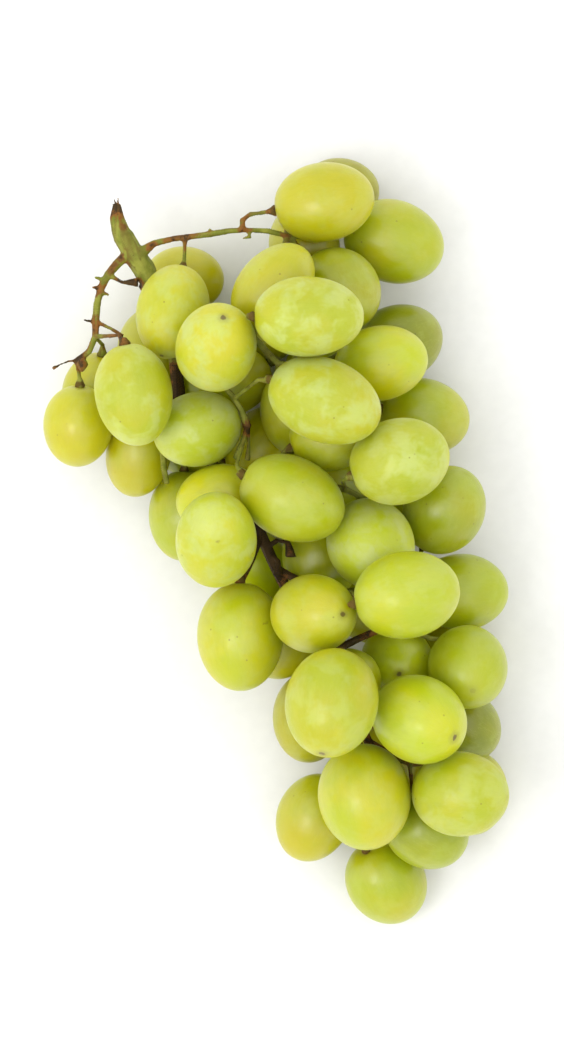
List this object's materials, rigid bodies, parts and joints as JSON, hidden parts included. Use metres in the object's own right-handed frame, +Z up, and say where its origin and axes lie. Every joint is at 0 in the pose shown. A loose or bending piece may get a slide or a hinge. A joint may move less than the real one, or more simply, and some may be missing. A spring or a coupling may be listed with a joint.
{
  "type": "bunch of grapes",
  "caption": "Bunch of white table grapes as picked, lying on its side: oval berries on short stalks along a branching stem with a torn stalk end and two shoulders.",
  "frame": {"origin": "on the surface that the bunch lies on, under the middle of its bounding box", "axes": "+Z up, +Y from the tip of the bunch towards its stalk end, +X towards the long shoulder"},
  "size_m": [0.1156, 0.1912, 0.0688],
  "materials": {
    "grape_skin": "translucent yellow-green skin, satin, with a dusty pale bloom",
    "grape_skin_amber": "translucent yellow-green skin blushed amber where the sun reached it, satin, with a dusty pale bloom",
    "stem_wood": "green to straw brown woody stem, matt, ridged lengthways, darker at its knots"
  },
  "bodies": {
    "root": {"berry_01": "grape_skin", "berry_02": "grape_skin", "berry_03": "grape_skin", "berry_04": "grape_skin", "berry_05": "grape_skin", "berry_06": "grape_skin", "berry_07": "grape_skin_amber", "berry_08": "grape_skin", "berry_09": "grape_skin", "berry_10": "grape_skin_amber", "berry_11": "grape_skin", "berry_12": "grape_skin", "berry_13": "grape_skin", "berry_14": "grape_skin", "berry_15": "grape_skin", "berry_16": "grape_skin", "berry_17": "grape_skin", "berry_18": "grape_skin", "berry_19": "grape_skin", "berry_20": "grape_skin", "berry_21": "grape_skin", "berry_22": "grape_skin", "berry_23": "grape_skin", "berry_24": "grape_skin", "berry_25": "grape_skin", "berry_26": "grape_skin", "berry_27": "grape_skin", "berry_28": "grape_skin", "berry_29": "grape_skin", "berry_30": "grape_skin", "berry_31": "grape_skin", "berry_32": "grape_skin", "berry_33": "grape_skin", "berry_34": "grape_skin", "berry_35": "grape_skin", "berry_36": "grape_skin", "berry_37": "grape_skin", "berry_38": "grape_skin", "berry_39": "grape_skin", "berry_40": "grape_skin", "berry_41": "grape_skin", "berry_42": "grape_skin", "berry_43": "grape_skin", "berry_44": "grape_skin", "berry_45": "grape_skin", "berry_46": "grape_skin", "berry_47": "grape_skin", "berry_48": "grape_skin", "berry_49": "grape_skin", "berry_50": "grape_skin", "berry_51": "grape_skin", "berry_52": "grape_skin", "berry_53": "grape_skin", "berry_54": "grape_skin", "berry_55": "grape_skin", "berry_56": "grape_skin_amber", "berry_57": "grape_skin", "berry_58": "grape_skin", "berry_59": "grape_skin", "stem": "stem_wood"}
  },
  "joints": []
}
